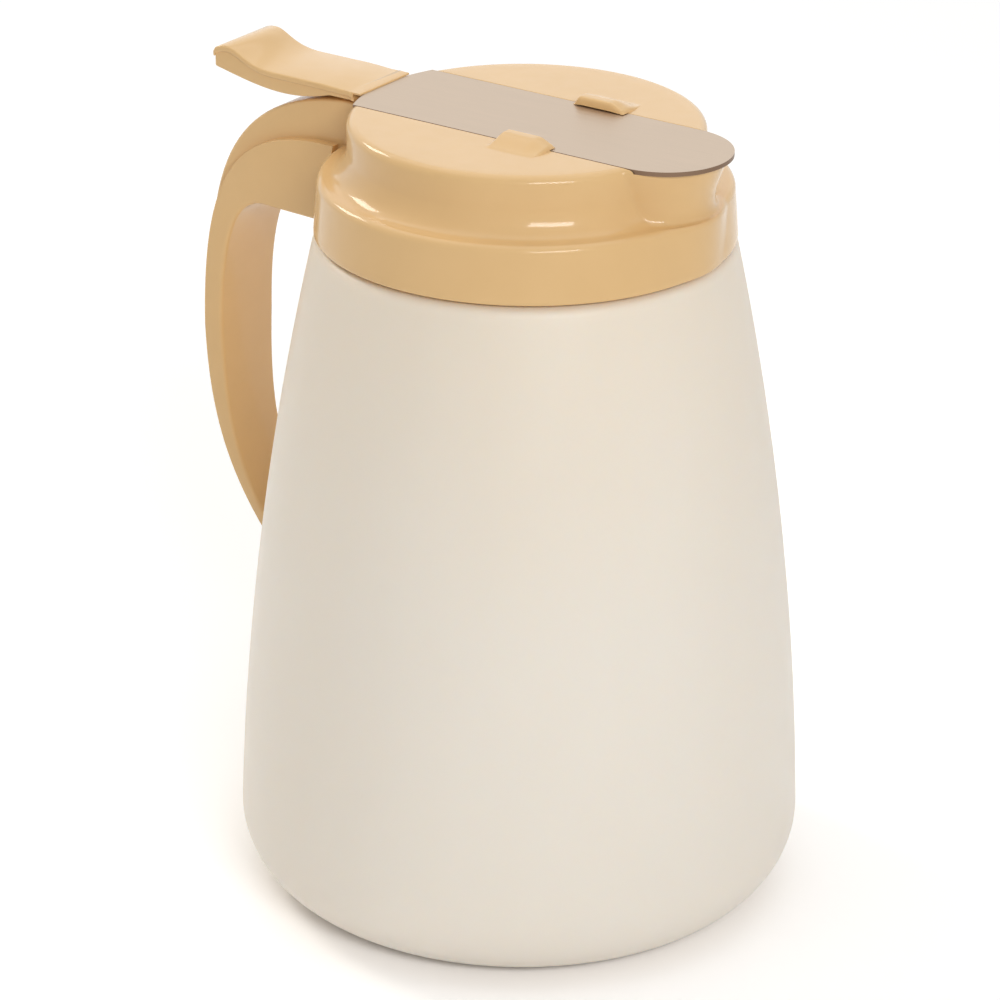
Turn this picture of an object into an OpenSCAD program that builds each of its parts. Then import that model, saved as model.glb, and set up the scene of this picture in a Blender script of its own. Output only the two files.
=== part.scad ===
// Syrup dispenser: a tall jar with a screw-on top, a hooked handle and a sprung sliding gate.
// The origin is the centre of the jar's base, +Z is up and +X is the pouring direction.

/* [Jar] */
// Radius of the jar's side where the base corner starts
jar_base_r = 65; // [58:0.5:72]
// Radius of the jar's side at the level of its shoulder
jar_top_r = 47; // [46:0.5:48]
// Height of the jar's shoulder above the base
jar_shoulder_z = 157.7; // [145:0.1:175]
// How far the side bows out beyond a straight line
jar_side_bow = 3.3; // [2:0.1:5]
// Radius of the corner between base and side
jar_corner_r = 18; // [12:0.5:22]
// Radius of the shoulder's rounding
jar_shoulder_r = 3; // [2.6:0.1:3.4]
// Wall thickness of the jar
jar_wall = 2; // [1.4:0.1:2.4]

/* [Neck] */
// Outer radius of the threaded neck
neck_r = 42; // [41.5:0.1:42.5]
// Wall thickness of the neck
neck_wall = 2; // [1.6:0.1:2.6]
// Height of the neck above the shoulder
neck_h = 9.9; // [9.5:0.1:12]
// Rise of the thread in one turn
thread_lead = 6; // [5.5:0.1:6.5]
// Depth of the thread, on the neck and in the collar
thread_depth = 1.4; // [1:0.1:1.6]
// Width of a thread ridge at its root
thread_root_w = 3; // [2.4:0.1:3.2]
// Width of a thread ridge at its crest
thread_crest_w = 1.2; // [0.8:0.1:1.6]
// Radial gap between a thread's crest and the wall that it faces
thread_gap = 0.5; // [0.4:0.05:0.7]
// How far the collar's ridge sits below the neck's ridge
thread_offset = 2.2; // [2.1:0.1:2.6]
// Thickness of the sealing ring
seal_t = 1.5; // [1:0.1:2]

/* [Collar] */
// Gap between the jar's shoulder and the collar's lower edge
collar_gap = 0.6; // [0.4:0.1:1.2]
// Wall thickness of the collar's skirt at its lower edge
collar_wall = 3.3; // [2.8:0.1:4]
// How much smaller the skirt's outer radius is at its top
collar_taper = 0.9; // [0:0.1:1.2]
// Thickness of the ledge that closes the collar's top
ledge_t = 2.2; // [1.8:0.1:3]
// Radius of the hole in the ledge
ledge_hole_r = 38.8; // [38.4:0.1:39.2]
// Rounding of the collar's upper edge
collar_edge_r = 1.5; // [1:0.1:1.8]

/* [Cover] */
// Outer radius of the cover's ring wall
ring_r = 39.7; // [39.4:0.1:40.6]
// Height of the deck above the collar's ledge
cover_h = 13.2; // [12.6:0.1:16]
// Rounding of the deck's outer edge
deck_edge_r = 2; // [1:0.1:2.4]
// Thickness of the deck, and of the floor under the gate
deck_t = 2.4; // [2:0.1:2.8]
// Radius of the cove between ring wall and ledge
cove_r = 4; // [2.5:0.1:4.2]
// Upright land at the cove's foot
cove_land = 0.4; // [0.3:0.1:0.8]
// Thickness of the spigot that stands in the ledge's hole
spigot_wall = 1.4; // [1:0.1:2]
// Depth of the spigot below the ledge's upper face
spigot_h = 1.8; // [1.2:0.1:2]
// Gap round the spigot
spigot_gap = 0.1; // [0.05:0.01:0.15]

/* [Spout] */
// Distance from the jar's axis to the centre of the spout's round front
spout_x = 35; // [34:0.1:35.4]
// Outer radius of the spout at its lip
spout_lip_r = 14.5; // [13.8:0.1:14.9]
// Outer radius of the spout at its root
spout_root_r = 12; // [11.5:0.1:12.5]
// Height of the spout's root below the lip
spout_h = 18; // [16:0.1:20]
// Wall thickness of the spout
spout_wall = 2; // [1.5:0.1:2.4]

/* [Gate] */
// Width of the gate plate
gate_w = 30.6; // [30:0.1:32]
// Thickness of the gate plate
gate_t = 1; // [0.8:0.1:1.2]
// Distance from the jar's axis to the centre of the gate's half-round front
gate_front_x = 35.6; // [35:0.1:37]
// Radius of the gate's rear edge about the jar's axis
gate_rear_r = 39.3; // [38.8:0.1:39.5]
// Gap at each side of the gate in its channel
gate_gap = 0.3; // [0.2:0.05:0.5]
// Travel of the gate from closed to open
gate_stroke = 24; // [18:0.5:24]
// Width of the tongue that the thumb lever is moulded on
tongue_w = 12; // [9:0.5:14]
// Length of the tongue behind the gate's rear edge
tongue_l = 18; // [12:0.5:20]
// Width of the tab that meets the spring
tab_w = 5; // [4:0.1:5.6]
// Thickness of the tab
tab_t = 1; // [0.8:0.1:1.4]
// Depth of the tab below the gate
tab_h = 5.6; // [5:0.1:6]

/* [Spring] */
// Distance from the jar's axis to the trough's rear wall
trough_x = 35.4; // [34.4:0.1:35.6]
// Width of the spring trough
trough_w = 7.2; // [6.8:0.1:8]
// Wall thickness of the trough
trough_wall = 1.6; // [1.2:0.1:2]
// Length of the spring with the gate open
spring_short_l = 6; // [5.8:0.1:7]
// Diameter of the spring's wire
wire_d = 0.5; // [0.4:0.05:0.6]
// Diameter of the spring, measured at the middle of its wire
coil_d = 5.4; // [5:0.1:5.6]
// Number of curls in the spring
coil_turns = 10; // [8:1:11]
// Gap over and under the spring in its trough
coil_gap = 0.4; // [0.3:0.05:0.6]
// Gap between the tab and the trough's front wall with the gate closed
stop_gap = 0.3; // [0.2:0.05:0.5]

/* [Lugs] */
// Distance from the jar's axis to a lug's rear end
lug_x = 3.5; // [0:0.5:8]
// Length of a hold-down lug
lug_l = 14.5; // [10:0.5:18]
// Distance from the gate's middle line to a lug's inner face
lug_in_y = 12.6; // [11:0.1:14]
// Distance from the gate's middle line to a lug's outer foot
lug_out_y = 22.5; // [20:0.1:25]
// Height of a lug above the deck
lug_h = 2.3; // [1.8:0.1:3]
// Length of the ramp at a lug's front end
lug_ramp = 4; // [2:0.1:5]
// Width of a lug's flat crest beyond the gate's edge
lug_crest_w = 1; // [0.5:0.1:2]
// How far a lug's rear end leans forward
lug_lean = 0.6; // [0.3:0.1:1]
// Gap between a lug and the gate
lug_gap = 0.15; // [0.1:0.05:0.3]

/* [Lever] */
// Width of the thumb lever
lever_w = 19; // [16:0.5:21]
// Width of the lever's foot on the gate
foot_w = 23; // [21:0.5:26]
// Length of the foot on top of the gate
foot_l = 2.5; // [1.5:0.1:3]
// Thickness of the lever over the tongue
lever_over = 0.8; // [0.6:0.1:1.2]
// Thickness of the lever under the tongue
lever_under = 0.8; // [0.6:0.1:0.9]
// Distance from the jar's axis to the lever's rear end
lever_reach = 80; // [76:0.5:88]
// Height of the lever's rear lip above its upper face
lip_h = 3.7; // [2:0.1:4.2]
// Length of the rounding behind the lip's crest
lip_l = 4; // [3:0.1:5]
// Length of the slope in front of the lip's crest
slope_l = 13; // [8:0.5:15]
// Rise of the lever's lower rear edge above its front underside
heel_h = 0.9; // [0:0.1:1.2]
// Depth of the lever's belly below its front underside
belly_h = 3; // [2:0.1:3.2]
// Distance from the lever's front end to the start of its belly
belly_x = 7; // [5:0.5:9]
// Gap between the lever and the ring wall with the gate closed
lever_gap = 0.8; // [0.5:0.1:1.2]
// Gap round the tongue inside the lever
insert_gap = 0.05; // [0.02:0.01:0.1]

/* [Handle] */
// Width of the handle's strap
handle_w = 20; // [16:0.5:22]
// Width of the strap at its free end
tip_w = 14; // [10:0.5:16]
// Distance from the jar's axis to the handle's outermost point
handle_reach = 83.4; // [80:0.1:92]
// Height of the outermost point above the base
handle_bulge_z = 120; // [112:0.5:126]
// How far the strap's top runs back before it turns down
top_run = 25; // [20:0.5:30]
// Height of the corner where the strap turns down, measured as in a sharp bend
top_bend = 13; // [10:0.5:16]
// Thickness of the strap at its outermost point
grip_t = 4.9; // [4:0.1:7]
// Thickness of the strap at its free end
tip_t = 4.6; // [3:0.1:5]
// Height of the strap's free end above the base
tip_z = 66; // [62:0.5:76]
// Gap between the free end and the jar
tip_gap = 1.4; // [1:0.1:2.5]
// Depth of the strap at its root, down from the collar's ledge
root_depth = 18.8; // [17:0.1:20]
// Gap between the strap's root and the jar's side
root_gap = 1.4; // [1:0.1:2]
// Size of the hollow's upper corner, between the grip and the root
hollow_r = 12; // [8:0.5:14]
// Width of the rib along the handle's top
rib_w = 13; // [10:0.5:15]
// Height of the rib's front end above the collar's ledge
rib_h = 10.4; // [9.5:0.1:10.8]
// Distance from the strap's outermost point to where the rib turns down
rib_bend = 16; // [13:0.5:20]
// Height of the rib's lower end above the strap's outermost point
rib_end_h = 18; // [12:0.5:24]
// Depth of the flat seats that the handle's root and rib stand against
seat_t = 0.6; // [0.4:0.1:1]

/* [Hidden] */
$fn = 96;
// Overlap that joins solids of one piece, and the reach of a cut past its face
eps = 0.5;
// Angle between the points of an arc
arc_step = 7.5;
// Number of points on a long curve
curve_n = 24;

// Levels of the stack, from the rim up
rim_z = jar_shoulder_z + neck_h;
ledge_under_z = rim_z + seal_t;
ledge_z = ledge_under_z + ledge_t;
deck_z = ledge_z + cover_h;
gate_z = deck_z - gate_t;
floor_z = gate_z - deck_t;
collar_z = jar_shoulder_z + collar_gap;

// Arc of the jar's side: it passes through the top of the corner and the level of the shoulder
side_low = [jar_base_r, jar_corner_r];
side_high = [jar_top_r, jar_shoulder_z];
side_chord = norm(side_high - side_low);
side_r = (side_chord * side_chord / 4 + jar_side_bow * jar_side_bow) / (2 * jar_side_bow);
side_normal = [side_high.y - side_low.y, side_low.x - side_high.x] / side_chord;
side_centre = (side_low + side_high) / 2 - side_normal * (side_r - jar_side_bow);

// Radii of the collar and the cover
skirt_in_r = neck_r + thread_depth + thread_gap;
skirt_r = skirt_in_r + collar_wall;
skirt_top_r = skirt_r - collar_taper;
spigot_r = ledge_hole_r - spigot_gap;
ring_in_r = spigot_r - spigot_wall;
cove_foot_r = ring_r + cove_r;

// Lines of the gate, the trough and the lever
spring_l = spring_short_l + gate_stroke;
coil_r = coil_d / 2;
coil_z = gate_z - coil_gap - wire_d / 2 - coil_r;
trough_z = coil_z - coil_r - wire_d / 2 - coil_gap;
tab_x = spring_l - trough_x;
trough_front_x = tab_x + tab_t + stop_gap;
lever_top_z = deck_z + lever_over;
lever_under_z = gate_z - lever_under;
lever_front_x = -ring_r - lever_gap;
foot_x = foot_l - gate_rear_r;
tongue_x = -gate_rear_r - tongue_l;

// Seats of the handle
root_seat_x = -skirt_r - seat_t;
rib_seat_x = -cove_foot_r - seat_t;

// Sizes of the thread ridges
thread_step = 10;
thread_bury = 0.8;
neck_thread_z = jar_shoulder_z + thread_root_w / 2 + 0.6;
collar_thread_start = 140;

// Points of an arc about a centre, from angle a0 to angle a1
function arc(centre, r, a0, a1) =
    let (n = max(2, ceil(abs(a1 - a0) / arc_step)))
    [for (i = [0 : n]) centre + r * [cos(a0 + (a1 - a0) * i / n), sin(a0 + (a1 - a0) * i / n)]];

// Points of a cubic curve through p[0] and p[3], drawn towards p[1] and p[2]
function curve(p) =
    [for (i = [0 : curve_n])
        let (t = i / curve_n, s = 1 - t)
        s * s * s * p[0] + 3 * s * s * t * p[1] + 3 * s * t * t * p[2] + t * t * t * p[3]];

// Radius of the jar's side at height z, moved inwards by inset
function side_at(z, inset = 0) = side_centre.x + sqrt(pow(side_r - inset, 2) - pow(z - side_centre.y, 2));

// Centre of a rounding of radius r at height z that touches the jar's side from within
function inner_centre(r, z) = [side_centre.x + sqrt(pow(side_r - r, 2) - pow(z - side_centre.y, 2)), z];

// Angle at which a rounding's centre is seen from the centre of the side's arc
function seen_at(centre) = atan2(centre.y - side_centre.y, centre.x - side_centre.x);

corner_centre = inner_centre(jar_corner_r, jar_corner_r);
shoulder_centre = inner_centre(jar_shoulder_r, jar_shoulder_z - jar_shoulder_r);

// Half section of the jar below its neck, moved inwards by inset
function jar_profile(inset) =
    let (
        low = side_centre.y + (side_r - inset) * sin(seen_at(corner_centre)),
        high = side_centre.y + (side_r - inset) * sin(seen_at(shoulder_centre))
    )
    concat(
        [[0, inset]],
        arc(corner_centre, jar_corner_r - inset, -90, seen_at(corner_centre)),
        [for (i = [1 : curve_n - 1])
            let (z = low + (high - low) * i / curve_n)
            [side_at(z, inset), z]],
        arc(shoulder_centre, jar_shoulder_r - inset, seen_at(shoulder_centre), 90)
    );

// Faces of a tube of n rings with m points each, as triangles with closed ends
function tube_faces(n, m) = concat(
    [for (i = [0 : n - 2]) for (j = [0 : m - 1]) [i * m + j, i * m + (j + 1) % m, (i + 1) * m + j]],
    [for (i = [0 : n - 2]) for (j = [0 : m - 1])
        [i * m + (j + 1) % m, (i + 1) * m + (j + 1) % m, (i + 1) * m + j]],
    [for (j = [1 : m - 2]) [0, j + 1, j]],
    [for (j = [1 : m - 2]) [(n - 1) * m, (n - 1) * m + j, (n - 1) * m + j + 1]]
);

// One full turn of thread ridge on a wall of radius r: side is 1 outwards and -1 inwards
module thread_ridge(r, side, start, z) {
    n = 360 / thread_step;
    root = thread_root_w / 2;
    crest = thread_crest_w / 2;
    rings = [for (i = [0 : n])
        let (
            a = start + i * thread_step,
            h = thread_depth * min(1, (i + 1) / 4, (n - i + 1) / 4),
            zc = z + thread_lead * a / 360,
            section = [[-thread_bury, -root], [h, -crest], [h, crest], [-thread_bury, root]]
        )
        for (q = section) [(r + side * q.x) * cos(a), (r + side * q.x) * sin(a), zc + q.y * side]];
    polyhedron(points = rings, faces = tube_faces(n + 1, 4));
}

module jar() {
    color([0.90, 0.86, 0.80]) {
        difference() {
            rotate_extrude()
                polygon(concat(jar_profile(0), [[neck_r, jar_shoulder_z], [neck_r, rim_z], [0, rim_z]]));
            rotate_extrude()
                polygon(concat(
                    jar_profile(jar_wall),
                    [
                        [neck_r - neck_wall, jar_shoulder_z - jar_wall],
                        [neck_r - neck_wall, rim_z + eps],
                        [0, rim_z + eps]
                    ]
                ));
        }
        thread_ridge(neck_r, 1, 0, neck_thread_z);
    }
}

module sealing_ring() {
    color([0.82, 0.80, 0.76])
        translate([0, 0, rim_z])
            difference() {
                cylinder(r = neck_r, h = seal_t);
                translate([0, 0, -eps])
                    cylinder(r = neck_r - neck_wall, h = seal_t + 2 * eps);
            }
}

// Outer cone of the spout between two heights, moved inwards by inset
module spout_cone(z0, z1, inset = 0) {
    slope = (spout_lip_r - spout_root_r) / spout_h;
    translate([spout_x, 0, z0])
        cylinder(
            r1 = spout_lip_r - slope * (gate_z - z0) - inset,
            r2 = spout_lip_r - slope * (gate_z - z1) - inset,
            h = z1 - z0
        );
}

module collar() {
    color([0.90, 0.73, 0.53]) {
        rotate_extrude()
            polygon(concat(
                [[skirt_in_r, collar_z], [skirt_r, collar_z]],
                arc([skirt_top_r - collar_edge_r, ledge_z - collar_edge_r], collar_edge_r, 0, 90),
                [[ledge_hole_r, ledge_z], [ledge_hole_r, ledge_under_z], [skirt_in_r, ledge_under_z]]
            ));
        thread_ridge(skirt_in_r, -1, collar_thread_start, neck_thread_z - thread_offset);
        handle_seat();
        spout_fairing();
    }
}

// Flat seat on the back of the collar for the handle's root
module handle_seat() {
    difference() {
        translate([root_seat_x, -handle_w / 2, collar_z])
            cube([-root_seat_x, handle_w, ledge_z - collar_z]);
        translate([0, 0, collar_z - eps])
            cylinder(r = skirt_in_r + collar_wall / 3, h = ledge_z - collar_z + 2 * eps);
    }
}

// Fairing on the front of the collar that runs up into the spout
module spout_fairing() {
    difference() {
        spout_cone(collar_z + collar_wall, ledge_z);
        translate([0, 0, collar_z])
            cylinder(r = skirt_in_r + collar_wall / 3, h = ledge_z - collar_z + eps);
    }
}

module cover() {
    color([0.93, 0.79, 0.60]) {
        difference() {
            union() {
                difference() {
                    union() {
                        cover_shell();
                        spout_cone(ledge_z, gate_z);
                    }
                    translate([0, 0, ledge_z - spigot_h - eps])
                        cylinder(r = ring_in_r, h = floor_z - ledge_z + spigot_h + eps);
                }
                gate_floor();
                spring_trough();
                rib_seat();
            }
            spout_cone(ledge_z + spout_wall, gate_z + eps, spout_wall);
            gate_channel();
            spring_slot();
        }
        for (side = [-1, 1])
            scale([1, side, 1]) hold_down_lug();
    }
}

// Ring wall, deck, cove and spigot of the cover
module cover_shell() {
    rotate_extrude()
        polygon(concat(
            [
                [ring_in_r, ledge_z - spigot_h],
                [spigot_r, ledge_z - spigot_h],
                [spigot_r, ledge_z],
                [cove_foot_r, ledge_z]
            ],
            arc([cove_foot_r, ledge_z + cove_land + cove_r], cove_r, 270, 180),
            arc([ring_r - deck_edge_r, deck_z - deck_edge_r], deck_edge_r, 0, 90),
            [[0, deck_z], [0, deck_z - deck_t], [ring_in_r, deck_z - deck_t]]
        ));
}

// Floor of the gate's channel, under the deck
module gate_floor() {
    half_w = gate_w / 2 + gate_gap + deck_t;
    intersection() {
        translate([-ring_r, -half_w, floor_z])
            cube([2 * ring_r, 2 * half_w, deck_z - eps - floor_z]);
        translate([0, 0, floor_z])
            cylinder(r = ring_in_r + eps, h = deck_z - floor_z);
    }
}

// Space that the gate slides in, open at both ends
module gate_channel() {
    reach = spout_x + spout_lip_r + eps;
    translate([-reach, -gate_w / 2 - gate_gap, gate_z])
        cube([2 * reach, gate_w + 2 * gate_gap, gate_t + eps]);
}

// Closed box under the gate's floor that the spring lies in
module spring_trough() {
    low_z = trough_z - trough_wall;
    outer_w = trough_w + 2 * trough_wall;
    translate([-trough_x - trough_wall, -outer_w / 2, low_z])
        cube([trough_x + trough_front_x + 2 * trough_wall, outer_w, floor_z + eps - low_z]);
}

module spring_slot() {
    translate([-trough_x, -trough_w / 2, trough_z])
        cube([trough_x + trough_front_x, trough_w, deck_z - trough_z]);
}

// Flat seat on the back of the cover for the handle's rib
module rib_seat() {
    difference() {
        translate([rib_seat_x, -rib_w / 2, ledge_z])
            cube([-rib_seat_x, rib_w, rib_h]);
        translate([0, 0, ledge_z - eps])
            cylinder(r = ring_r - eps, h = rib_h + 2 * eps);
    }
}

// Wedge that reaches over the gate's edge: highest at its inner face, with a ramp at its front end
module hold_down_lug() {
    low_z = deck_z - eps;
    crest_z = deck_z + lug_h;
    gate_side = gate_w / 2 + gate_gap;
    across = [
        [lug_in_y, low_z],
        [lug_in_y, crest_z],
        [gate_side + lug_crest_w, crest_z],
        [lug_out_y, deck_z],
        [lug_out_y, low_z]
    ];
    lengthways = [
        [0, low_z],
        [lug_lean, crest_z],
        [lug_l - lug_ramp, crest_z],
        [lug_l, deck_z],
        [lug_l, low_z]
    ];
    difference() {
        intersection() {
            translate([lug_x, 0, 0])
                rotate([90, 0, 90])
                    linear_extrude(lug_l)
                        polygon(across);
            translate([lug_x, lug_out_y, 0])
                rotate([90, 0, 0])
                    linear_extrude(lug_out_y)
                        polygon(lengthways);
        }
        translate([0, 0, low_z - eps])
            cube([lug_x + lug_l + eps, gate_side, 2 * eps + lug_gap]);
    }
}

// Gate: straight sides, a half-round front, a rear edge round the jar's axis, a tongue and a tab
module gate_plate() {
    color([0.80, 0.75, 0.69]) {
        translate([0, 0, gate_z])
            linear_extrude(gate_t) {
                translate([gate_front_x, 0])
                    circle(r = gate_w / 2);
                intersection() {
                    translate([-gate_rear_r, -gate_w / 2])
                        square([gate_rear_r + gate_front_x, gate_w]);
                    union() {
                        circle(r = gate_rear_r);
                        translate([0, -gate_w / 2])
                            square([gate_front_x, gate_w]);
                    }
                }
                translate([tongue_x, -tongue_w / 2])
                    square([tongue_l + eps * 2, tongue_w]);
            }
        translate([tab_x, -tab_w / 2, gate_z - tab_h])
            cube([tab_t, tab_w, tab_h + gate_t / 2]);
    }
}

// Side outline of the lever in the X and Z directions
function lever_outline() =
    let (
        lip_x = lip_l - lever_reach,
        lip_z = lever_top_z + lip_h,
        heel_x = lip_x + lip_l,
        heel_z = lever_under_z + heel_h,
        deep_x = lip_x + slope_l,
        deep_z = lever_under_z - belly_h
    )
    concat(
        [[lever_front_x, lever_under_z], [lever_front_x, lever_top_z]],
        curve([
            [deep_x, lever_top_z],
            [deep_x - slope_l / 2, lever_top_z],
            [lip_x + slope_l / 3, lip_z],
            [lip_x, lip_z]
        ]),
        curve([
            [lip_x, lip_z],
            [lip_x - lip_l * 0.6, lip_z],
            [-lever_reach, lip_z - lip_h / 4],
            [-lever_reach, lip_z - lip_h / 2]
        ]),
        [[-lever_reach, heel_z], [heel_x, heel_z]],
        curve([
            [heel_x, heel_z],
            [deep_x, deep_z],
            [deep_x + lip_l, deep_z],
            [lever_front_x - belly_x, lever_under_z]
        ])
    );

module thumb_lever() {
    color([0.94, 0.82, 0.66])
        difference() {
            union() {
                translate([0, lever_w / 2, 0])
                    rotate([90, 0, 0])
                        linear_extrude(lever_w)
                            polygon(lever_outline());
                translate([lever_front_x - foot_l, -foot_w / 2, deck_z])
                    cube([foot_x - lever_front_x + foot_l, foot_w, lever_over]);
            }
            translate([tongue_x - insert_gap, -tongue_w / 2 - insert_gap, gate_z - insert_gap])
                cube([tongue_l + ring_r, tongue_w + 2 * insert_gap, gate_t + insert_gap]);
        }
}

// Side outline of the strap in the X and Z directions
function strap_outline() =
    let (
        reach = -handle_reach,
        inner = reach + grip_t,
        tip_in = -side_at(tip_z) - tip_gap,
        tip_out = tip_in - tip_t,
        fall = handle_bulge_z - tip_z,
        root_z = ledge_z - root_depth,
        root_x = -side_at(root_z) - root_gap
    )
    concat(
        curve([
            [root_seat_x, ledge_z],
            [root_seat_x - top_run, ledge_z],
            [reach, ledge_z - top_bend],
            [reach, handle_bulge_z]
        ]),
        curve([
            [reach, handle_bulge_z],
            [reach, handle_bulge_z - fall * 0.4],
            [tip_out - fall * 0.22, tip_z + fall / 3],
            [tip_out, tip_z + tip_t / 2]
        ]),
        curve([
            [tip_out, tip_z + tip_t / 2],
            [tip_out + tip_t / 4, tip_z - tip_t / 2],
            [tip_in, tip_z - tip_t / 2],
            [tip_in, tip_z]
        ]),
        curve([
            [tip_in, tip_z],
            [tip_in - fall * 0.24, tip_z + fall / 3],
            [inner, handle_bulge_z - fall * 0.45],
            [inner, handle_bulge_z]
        ]),
        curve([
            [inner, handle_bulge_z],
            [inner, root_z - hollow_r],
            [inner + hollow_r / 3, root_z + eps],
            [inner + hollow_r, root_z + eps]
        ]),
        [[root_x, root_z], [root_x, collar_z], [root_seat_x, collar_z]]
    );

// Side outline of the rib, whose lower edge lies inside the strap
function rib_outline() =
    let (
        reach = -handle_reach,
        in_x = reach + grip_t / 2,
        low_z = ledge_z - root_depth / 2,
        end_z = handle_bulge_z + rib_end_h,
        top_z = ledge_z + rib_h
    )
    concat(
        [[rib_seat_x, ledge_z], [rib_seat_x, top_z]],
        curve([
            [rib_seat_x, top_z],
            [reach + rib_bend, top_z - 2],
            [reach + grip_t / 3, ledge_z - grip_t * 0.8],
            [reach + seat_t, end_z]
        ]),
        [[in_x, end_z], [in_x + grip_t * 2, low_z], [root_seat_x, low_z], [root_seat_x, ledge_z]]
    );

// Front outline of the strap in the Y and Z directions: full width down to the grip, then tapered
function strap_front() =
    let (low_z = tip_z - tip_t)
    [
        [-tip_w / 2, low_z],
        [tip_w / 2, low_z],
        [handle_w / 2, handle_bulge_z],
        [handle_w / 2, ledge_z + eps],
        [-handle_w / 2, ledge_z + eps],
        [-handle_w / 2, handle_bulge_z]
    ];

module handle() {
    color([0.80, 0.62, 0.42]) {
        intersection() {
            translate([0, handle_w / 2, 0])
                rotate([90, 0, 0])
                    linear_extrude(handle_w)
                        polygon(strap_outline());
            translate([-handle_reach - eps, 0, 0])
                rotate([90, 0, 90])
                    linear_extrude(handle_reach)
                        polygon(strap_front());
        }
        translate([0, rib_w / 2, 0])
            rotate([90, 0, 0])
                linear_extrude(rib_w)
                    polygon(rib_outline());
    }
}

// Middle line of the spring's wire, with a short straight end at each side
spring_rings = coil_turns * 8;
spring_rise = (spring_l - 2 * wire_d) / spring_rings;
spring_line = concat(
    [[-trough_x, coil_r, 0]],
    [for (i = [0 : spring_rings])
        let (a = i * 45)
        [-trough_x + wire_d + spring_rise * i, coil_r * cos(a), coil_r * sin(a)]],
    [[tab_x, coil_r, 0]]
);

function unit(v) = v / norm(v);
function along(line, i) = unit(line[min(i + 1, len(line) - 1)] - line[max(i - 1, 0)]);

// Least distance between stretches of the wire that are half a curl or more apart, less the wire itself
function spring_self_gap() =
    min([for (i = [1 : len(spring_line) - 2]) for (j = [i + 4 : 1 : len(spring_line) - 2])
        norm(spring_line[i] - spring_line[j])]) - wire_d;

module return_spring() {
    echo(spring_self_gap = spring_self_gap());
    color([0.75, 0.76, 0.78])
        translate([0, 0, coil_z])
            polyhedron(
                points = [for (i = [0 : len(spring_line) - 1])
                    let (
                        t = (i == 0 || i == len(spring_line) - 1) ? [1, 0, 0] : along(spring_line, i),
                        out = unit([0, spring_line[i].y, spring_line[i].z]),
                        u = unit(out - t * (out * t)),
                        v = cross(t, u)
                    )
                    for (k = [0 : 5])
                        spring_line[i] + wire_d / 2 * (cos(60 * k) * u + sin(60 * k) * v)],
                faces = tube_faces(len(spring_line), 6)
            );
}

jar();
sealing_ring();
collar();
cover();
handle();
gate_plate();
thumb_lever();
return_spring();
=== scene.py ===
import math

import bmesh
import bpy
from mathutils import Matrix, Vector


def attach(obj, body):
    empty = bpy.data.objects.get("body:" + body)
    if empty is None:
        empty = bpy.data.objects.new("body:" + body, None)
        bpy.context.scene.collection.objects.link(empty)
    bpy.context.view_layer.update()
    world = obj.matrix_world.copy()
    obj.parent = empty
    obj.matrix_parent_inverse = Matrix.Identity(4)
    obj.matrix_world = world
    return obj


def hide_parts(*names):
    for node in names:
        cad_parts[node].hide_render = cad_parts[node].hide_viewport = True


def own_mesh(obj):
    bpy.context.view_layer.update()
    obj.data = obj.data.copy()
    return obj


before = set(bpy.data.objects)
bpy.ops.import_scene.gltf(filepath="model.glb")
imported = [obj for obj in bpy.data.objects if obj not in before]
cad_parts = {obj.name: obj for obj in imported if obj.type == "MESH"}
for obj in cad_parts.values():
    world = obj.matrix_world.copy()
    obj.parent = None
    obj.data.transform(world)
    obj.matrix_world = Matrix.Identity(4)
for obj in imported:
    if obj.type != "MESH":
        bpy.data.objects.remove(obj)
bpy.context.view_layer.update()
scene = bpy.context.scene
print("frame loaded:", ", ".join(sorted(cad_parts)))


# the pieces are drawn in millimetres, and finishPiece turns them into metres

metresPerMillimetre = 0.001
mergeDistance = 0.0005


def arcPoints(centre, radius, start, end, count):
    points = []
    for i in range(count + 1):
        a = math.radians(start + (end - start) * i / count)
        points.append((centre[0] + radius * math.cos(a), centre[1] + radius * math.sin(a)))
    return points


def bezierPoints(handles, count):
    a, b, c, d = (Vector(p) for p in handles)
    points = []
    for i in range(count + 1):
        t = i / count
        s = 1 - t
        points.append(tuple(a * s ** 3 + b * 3 * s * s * t + c * 3 * s * t * t + d * t ** 3))
    return points


def smoothStep(low, high, value):
    t = min(1, max(0, (value - low) / (high - low)))
    return t * t * (3 - 2 * t)


def smoothMax(a, b, width):
    h = max(width - abs(a - b), 0) / width
    return max(a, b) + h * h * width / 4


def turnProfile(profile, sectors):
    # profile is a closed loop of (radius, height); sectors is a list of (start angle, end angle, steps)
    bm = bmesh.new()
    start = math.radians(sectors[0][0])
    verts = [bm.verts.new((r * math.cos(start), r * math.sin(start), z)) for r, z in profile]
    edges = [bm.edges.new((verts[i], verts[(i + 1) % len(verts)])) for i in range(len(verts))
             if not (profile[i][0] == 0 and profile[(i + 1) % len(verts)][0] == 0)]
    geom = verts + edges
    whole = len(sectors) == 1
    for low, high, steps in sectors:
        made = bmesh.ops.spin(bm, geom=geom, cent=(0, 0, 0), axis=(0, 0, 1), dvec=(0, 0, 0),
                              angle=math.radians(high - low), steps=steps, use_merge=whole,
                              use_normal_flip=False, use_duplicate=False)
        geom = made["geom_last"]
    bmesh.ops.remove_doubles(bm, verts=bm.verts, dist=mergeDistance)
    return bm


def drawnOut(bm, face):
    # extrudes an end face; the face that it leaves inside the body is taken away, the first one closes it
    inside = any(len(e.link_faces) > 1 for e in face.edges)
    made = bmesh.ops.extrude_face_region(bm, geom=[face])
    if inside:
        bmesh.ops.delete(bm, geom=[face], context="FACES_ONLY")
    return [f for f in made["geom"] if isinstance(f, bmesh.types.BMFace)][0]


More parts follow.
